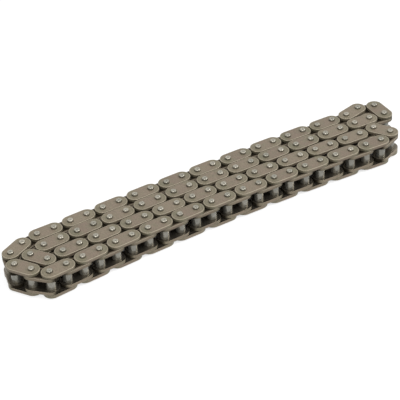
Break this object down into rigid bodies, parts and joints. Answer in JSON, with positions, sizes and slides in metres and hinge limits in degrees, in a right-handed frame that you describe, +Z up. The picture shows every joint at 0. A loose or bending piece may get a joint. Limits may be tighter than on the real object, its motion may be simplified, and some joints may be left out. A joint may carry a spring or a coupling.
{
  "type": "timing chain",
  "caption": "Endless bush timing chain laid flat in rows: riveted outer links and bushed inner links, hinged at every pin.",
  "frame": {"origin": "centre of the chain's footprint, on the plane of the lower pin ends that it rests on", "axes": "+X along the rows, +Y towards the rear row, +Z up along the pins"},
  "size_m": [0.1996, 0.0346, 0.0132],
  "materials": {
    "outer_plate_steel": "satin",
    "inner_plate_steel": "satin",
    "pin_steel": "polished",
    "bush_steel": "satin"
  },
  "bodies": {
    "middle_rows": {"middle_rows_pins": "pin_steel", "middle_rows_bushes": "bush_steel", "middle_rows_upper_outer_plates": "outer_plate_steel", "middle_rows_lower_outer_plates": "outer_plate_steel", "middle_rows_upper_inner_plates": "inner_plate_steel", "middle_rows_lower_inner_plates": "inner_plate_steel"},
    "outer_link_01": {"outer_link_01": "outer_plate_steel"},
    "inner_link_01": {"inner_link_01": "inner_plate_steel"},
    "outer_link_02": {"outer_link_02": "outer_plate_steel"},
    "inner_link_02": {"inner_link_02": "inner_plate_steel"},
    "outer_link_03": {"outer_link_03": "outer_plate_steel"},
    "inner_link_03": {"inner_link_03": "inner_plate_steel"},
    "outer_link_04": {"outer_link_04": "outer_plate_steel"},
    "inner_link_04": {"inner_link_04": "inner_plate_steel"},
    "outer_link_05": {"outer_link_05": "outer_plate_steel"},
    "inner_link_05": {"inner_link_05": "inner_plate_steel"},
    "outer_link_06": {"outer_link_06": "outer_plate_steel"},
    "inner_link_06": {"inner_link_06": "inner_plate_steel"},
    "outer_link_07": {"outer_link_07": "outer_plate_steel"},
    "inner_link_07": {"inner_link_07": "inner_plate_steel"},
    "outer_link_08": {"outer_link_08": "outer_plate_steel"},
    "inner_link_08": {"inner_link_08": "inner_plate_steel"},
    "outer_link_09": {"outer_link_09": "outer_plate_steel"},
    "inner_link_09": {"inner_link_09": "inner_plate_steel"},
    "outer_link_10": {"outer_link_10": "outer_plate_steel"},
    "inner_link_10": {"inner_link_10": "inner_plate_steel"},
    "outer_link_11": {"outer_link_11": "outer_plate_steel"},
    "inner_link_11": {"inner_link_11": "inner_plate_steel"},
    "outer_link_12": {"outer_link_12": "outer_plate_steel"},
    "inner_link_12": {"inner_link_12": "inner_plate_steel"},
    "outer_link_13": {"outer_link_13": "outer_plate_steel"},
    "inner_link_13": {"inner_link_13": "inner_plate_steel"},
    "outer_link_36": {"outer_link_36": "outer_plate_steel"},
    "inner_link_36": {"inner_link_36": "inner_plate_steel"},
    "outer_link_37": {"outer_link_37": "outer_plate_steel"},
    "inner_link_37": {"inner_link_37": "inner_plate_steel"},
    "outer_link_38": {"outer_link_38": "outer_plate_steel"},
    "inner_link_38": {"inner_link_38": "inner_plate_steel"},
    "outer_link_39": {"outer_link_39": "outer_plate_steel"},
    "inner_link_39": {"inner_link_39": "inner_plate_steel"},
    "outer_link_40": {"outer_link_40": "outer_plate_steel"},
    "inner_link_40": {"inner_link_40": "inner_plate_steel"},
    "outer_link_41": {"outer_link_41": "outer_plate_steel"},
    "inner_link_41": {"inner_link_41": "inner_plate_steel"},
    "outer_link_42": {"outer_link_42": "outer_plate_steel"},
    "inner_link_42": {"inner_link_42": "inner_plate_steel"},
    "outer_link_43": {"outer_link_43": "outer_plate_steel"},
    "inner_link_43": {"inner_link_43": "inner_plate_steel"},
    "outer_link_44": {"outer_link_44": "outer_plate_steel"},
    "inner_link_44": {"inner_link_44": "inner_plate_steel"},
    "outer_link_45": {"outer_link_45": "outer_plate_steel"},
    "inner_link_45": {"inner_link_45": "inner_plate_steel"},
    "outer_link_46": {"outer_link_46": "outer_plate_steel"},
    "inner_link_46": {"inner_link_46": "inner_plate_steel"},
    "outer_link_47": {"outer_link_47": "outer_plate_steel"},
    "inner_link_47": {"inner_link_47": "inner_plate_steel"},
    "outer_link_48": {"outer_link_48": "outer_plate_steel", "closing_pin_ends": "pin_steel"},
    "inner_link_48": {"inner_link_48": "inner_plate_steel"}
  },
  "joints": [
    {"name": "front_joint_01", "type": "hinge", "parent": "middle_rows", "child": "outer_link_36", "pos_m": [0.08467, -0.00394, 0.0066], "axis": [0, 0, -1], "range_deg": [-24, 0]},
    {"name": "rear_joint_01", "type": "hinge", "parent": "middle_rows", "child": "inner_link_13", "pos_m": [0.08788, 0.00367, 0.0066], "axis": [0, 0, 1], "range_deg": [-24, 0]},
    {"name": "front_joint_02", "type": "hinge", "parent": "outer_link_36", "child": "inner_link_36", "pos_m": [0.08904, -0.01064, 0.0066], "axis": [0, 0, 1], "range_deg": [0, 24]},
    {"name": "rear_joint_02", "type": "hinge", "parent": "inner_link_13", "child": "outer_link_13", "pos_m": [0.09585, 0.00291, 0.0066], "axis": [0, 0, -1], "range_deg": [0, 24]},
    {"name": "front_joint_03", "type": "hinge", "parent": "inner_link_36", "child": "outer_link_37", "pos_m": [0.08162, -0.01364, 0.0066], "axis": [0, 0, -1], "range_deg": [-24, 0]},
    {"name": "rear_joint_03", "type": "hinge", "parent": "outer_link_13", "child": "inner_link_12", "pos_m": [0.0961, 0.0109, 0.0066], "axis": [0, 0, 1], "range_deg": [-24, 0]},
    {"name": "front_joint_04", "type": "hinge", "parent": "outer_link_37", "child": "inner_link_37", "pos_m": [0.07364, -0.01304, 0.0066], "axis": [0, 0, 1], "range_deg": [0, 24]},
    {"name": "rear_joint_04", "type": "hinge", "parent": "inner_link_12", "child": "outer_link_12", "pos_m": [0.08858, 0.01364, 0.0066], "axis": [0, 0, -1], "range_deg": [0, 24]},
    {"name": "front_joint_05", "type": "hinge", "parent": "inner_link_37", "child": "outer_link_38", "pos_m": [0.06566, -0.0125, 0.0066], "axis": [0, 0, -1], "range_deg": [-24, 0]},
    {"name": "rear_joint_05", "type": "hinge", "parent": "outer_link_12", "child": "inner_link_11", "pos_m": [0.08079, 0.01184, 0.0066], "axis": [0, 0, 1], "range_deg": [-24, 0]},
    {"name": "front_joint_06", "type": "hinge", "parent": "outer_link_38", "child": "inner_link_38", "pos_m": [0.05767, -0.01202, 0.0066], "axis": [0, 0, 1], "range_deg": [0, 24]},
    {"name": "rear_joint_06", "type": "hinge", "parent": "inner_link_11", "child": "outer_link_11", "pos_m": [0.07279, 0.0121, 0.0066], "axis": [0, 0, -1], "range_deg": [0, 24]},
    {"name": "front_joint_07", "type": "hinge", "parent": "inner_link_38", "child": "outer_link_39", "pos_m": [0.04968, -0.0116, 0.0066], "axis": [0, 0, -1], "range_deg": [-24, 0]},
    {"name": "rear_joint_07", "type": "hinge", "parent": "outer_link_11", "child": "inner_link_10", "pos_m": [0.0648, 0.01234, 0.0066], "axis": [0, 0, 1], "range_deg": [-24, 0]},
    {"name": "front_joint_08", "type": "hinge", "parent": "outer_link_39", "child": "inner_link_39", "pos_m": [0.04169, -0.01124, 0.0066], "axis": [0, 0, 1], "range_deg": [0, 24]},
    {"name": "rear_joint_08", "type": "hinge", "parent": "inner_link_10", "child": "outer_link_10", "pos_m": [0.0568, 0.01254, 0.0066], "axis": [0, 0, -1], "range_deg": [0, 24]},
    {"name": "front_joint_09", "type": "hinge", "parent": "inner_link_39", "child": "outer_link_40", "pos_m": [0.0337, -0.01094, 0.0066], "axis": [0, 0, -1], "range_deg": [-24, 0]},
    {"name": "rear_joint_09", "type": "hinge", "parent": "outer_link_10", "child": "inner_link_09", "pos_m": [0.0488, 0.01272, 0.0066], "axis": [0, 0, 1], "range_deg": [-24, 0]},
    {"name": "front_joint_10", "type": "hinge", "parent": "outer_link_40", "child": "inner_link_40", "pos_m": [0.0257, -0.0107, 0.0066], "axis": [0, 0, 1], "range_deg": [0, 24]},
    {"name": "rear_joint_10", "type": "hinge", "parent": "inner_link_09", "child": "outer_link_09", "pos_m": [0.0408, 0.01287, 0.0066], "axis": [0, 0, -1], "range_deg": [0, 24]},
    {"name": "front_joint_11", "type": "hinge", "parent": "inner_link_40", "child": "outer_link_41", "pos_m": [0.0177, -0.01052, 0.0066], "axis": [0, 0, -1], "range_deg": [-24, 0]},
    {"name": "rear_joint_11", "type": "hinge", "parent": "outer_link_09", "child": "inner_link_08", "pos_m": [0.0328, 0.01298, 0.0066], "axis": [0, 0, 1], "range_deg": [-24, 0]},
    {"name": "front_joint_12", "type": "hinge", "parent": "outer_link_41", "child": "inner_link_41", "pos_m": [0.00971, -0.0104, 0.0066], "axis": [0, 0, 1], "range_deg": [0, 24]},
    {"name": "rear_joint_12", "type": "hinge", "parent": "inner_link_08", "child": "outer_link_08", "pos_m": [0.02481, 0.01307, 0.0066], "axis": [0, 0, -1], "range_deg": [0, 24]},
    {"name": "front_joint_13", "type": "hinge", "parent": "inner_link_41", "child": "outer_link_42", "pos_m": [0.0017, -0.01034, 0.0066], "axis": [0, 0, -1], "range_deg": [-24, 0]},
    {"name": "rear_joint_13", "type": "hinge", "parent": "outer_link_08", "child": "inner_link_07", "pos_m": [0.01681, 0.01313, 0.0066], "axis": [0, 0, 1], "range_deg": [-24, 0]},
    {"name": "front_joint_14", "type": "hinge", "parent": "outer_link_42", "child": "inner_link_42", "pos_m": [-0.0063, -0.01034, 0.0066], "axis": [0, 0, 1], "range_deg": [0, 24]},
    {"name": "rear_joint_14", "type": "hinge", "parent": "inner_link_07", "child": "outer_link_07", "pos_m": [0.00881, 0.01316, 0.0066], "axis": [0, 0, -1], "range_deg": [0, 24]},
    {"name": "front_joint_15", "type": "hinge", "parent": "inner_link_42", "child": "outer_link_43", "pos_m": [-0.0143, -0.0104, 0.0066], "axis": [0, 0, -1], "range_deg": [-24, 0]},
    {"name": "rear_joint_15", "type": "hinge", "parent": "outer_link_07", "child": "inner_link_06", "pos_m": [0.00081, 0.01316, 0.0066], "axis": [0, 0, 1], "range_deg": [-24, 0]},
    {"name": "front_joint_16", "type": "hinge", "parent": "outer_link_43", "child": "inner_link_43", "pos_m": [-0.02229, -0.01052, 0.0066], "axis": [0, 0, 1], "range_deg": [0, 24]},
    {"name": "rear_joint_16", "type": "hinge", "parent": "inner_link_06", "child": "outer_link_06", "pos_m": [-0.0072, 0.01313, 0.0066], "axis": [0, 0, -1], "range_deg": [0, 24]},
    {"name": "front_joint_17", "type": "hinge", "parent": "inner_link_43", "child": "outer_link_44", "pos_m": [-0.03029, -0.0107, 0.0066], "axis": [0, 0, -1], "range_deg": [-24, 0]},
    {"name": "rear_joint_17", "type": "hinge", "parent": "outer_link_06", "child": "inner_link_05", "pos_m": [-0.01519, 0.01307, 0.0066], "axis": [0, 0, 1], "range_deg": [-24, 0]},
    {"name": "front_joint_18", "type": "hinge", "parent": "outer_link_44", "child": "inner_link_44", "pos_m": [-0.03829, -0.01094, 0.0066], "axis": [0, 0, 1], "range_deg": [0, 24]},
    {"name": "rear_joint_18", "type": "hinge", "parent": "inner_link_05", "child": "outer_link_05", "pos_m": [-0.02319, 0.01298, 0.0066], "axis": [0, 0, -1], "range_deg": [0, 24]},
    {"name": "front_joint_19", "type": "hinge", "parent": "inner_link_44", "child": "outer_link_45", "pos_m": [-0.04628, -0.01124, 0.0066], "axis": [0, 0, -1], "range_deg": [-24, 0]},
    {"name": "rear_joint_19", "type": "hinge", "parent": "outer_link_05", "child": "inner_link_04", "pos_m": [-0.03119, 0.01287, 0.0066], "axis": [0, 0, 1], "range_deg": [-24, 0]},
    {"name": "front_joint_20", "type": "hinge", "parent": "outer_link_45", "child": "inner_link_45", "pos_m": [-0.05427, -0.0116, 0.0066], "axis": [0, 0, 1], "range_deg": [0, 24]},
    {"name": "rear_joint_20", "type": "hinge", "parent": "inner_link_04", "child": "outer_link_04", "pos_m": [-0.03919, 0.01272, 0.0066], "axis": [0, 0, -1], "range_deg": [0, 24]},
    {"name": "front_joint_21", "type": "hinge", "parent": "inner_link_45", "child": "outer_link_46", "pos_m": [-0.06226, -0.01202, 0.0066], "axis": [0, 0, -1], "range_deg": [-24, 0]},
    {"name": "rear_joint_21", "type": "hinge", "parent": "outer_link_04", "child": "inner_link_03", "pos_m": [-0.04719, 0.01254, 0.0066], "axis": [0, 0, 1], "range_deg": [-24, 0]},
    {"name": "front_joint_22", "type": "hinge", "parent": "outer_link_46", "child": "inner_link_46", "pos_m": [-0.07025, -0.0125, 0.0066], "axis": [0, 0, 1], "range_deg": [0, 24]},
    {"name": "rear_joint_22", "type": "hinge", "parent": "inner_link_03", "child": "outer_link_03", "pos_m": [-0.05519, 0.01234, 0.0066], "axis": [0, 0, -1], "range_deg": [0, 24]},
    {"name": "front_joint_23", "type": "hinge", "parent": "inner_link_46", "child": "outer_link_47", "pos_m": [-0.07823, -0.01304, 0.0066], "axis": [0, 0, -1], "range_deg": [-24, 0]},
    {"name": "rear_joint_23", "type": "hinge", "parent": "outer_link_03", "child": "inner_link_02", "pos_m": [-0.06318, 0.0121, 0.0066], "axis": [0, 0, 1], "range_deg": [-24, 0]},
    {"name": "front_joint_24", "type": "hinge", "parent": "outer_link_47", "child": "inner_link_47", "pos_m": [-0.08621, -0.01364, 0.0066], "axis": [0, 0, 1], "range_deg": [0, 24]},
    {"name": "rear_joint_24", "type": "hinge", "parent": "inner_link_02", "child": "outer_link_02", "pos_m": [-0.07118, 0.01184, 0.0066], "axis": [0, 0, -1], "range_deg": [0, 24]},
    {"name": "front_joint_25", "type": "hinge", "parent": "inner_link_47", "child": "outer_link_48", "pos_m": [-0.09176, -0.00789, 0.0066], "axis": [0, 0, -1], "range_deg": [-24, 0]},
    {"name": "rear_joint_25", "type": "hinge", "parent": "outer_link_02", "child": "inner_link_01", "pos_m": [-0.07918, 0.01184, 0.0066], "axis": [0, 0, 1], "range_deg": [-24, 0]},
    {"name": "rear_joint_26", "type": "hinge", "parent": "inner_link_01", "child": "outer_link_01", "pos_m": [-0.08699, 0.01011, 0.0066], "axis": [0, 0, -1], "range_deg": [0, 24]},
    {"name": "rear_joint_27", "type": "hinge", "parent": "outer_link_01", "child": "inner_link_48", "pos_m": [-0.09418, 0.0066, 0.0066], "axis": [0, 0, 1], "range_deg": [-24, 0]}
  ]
}
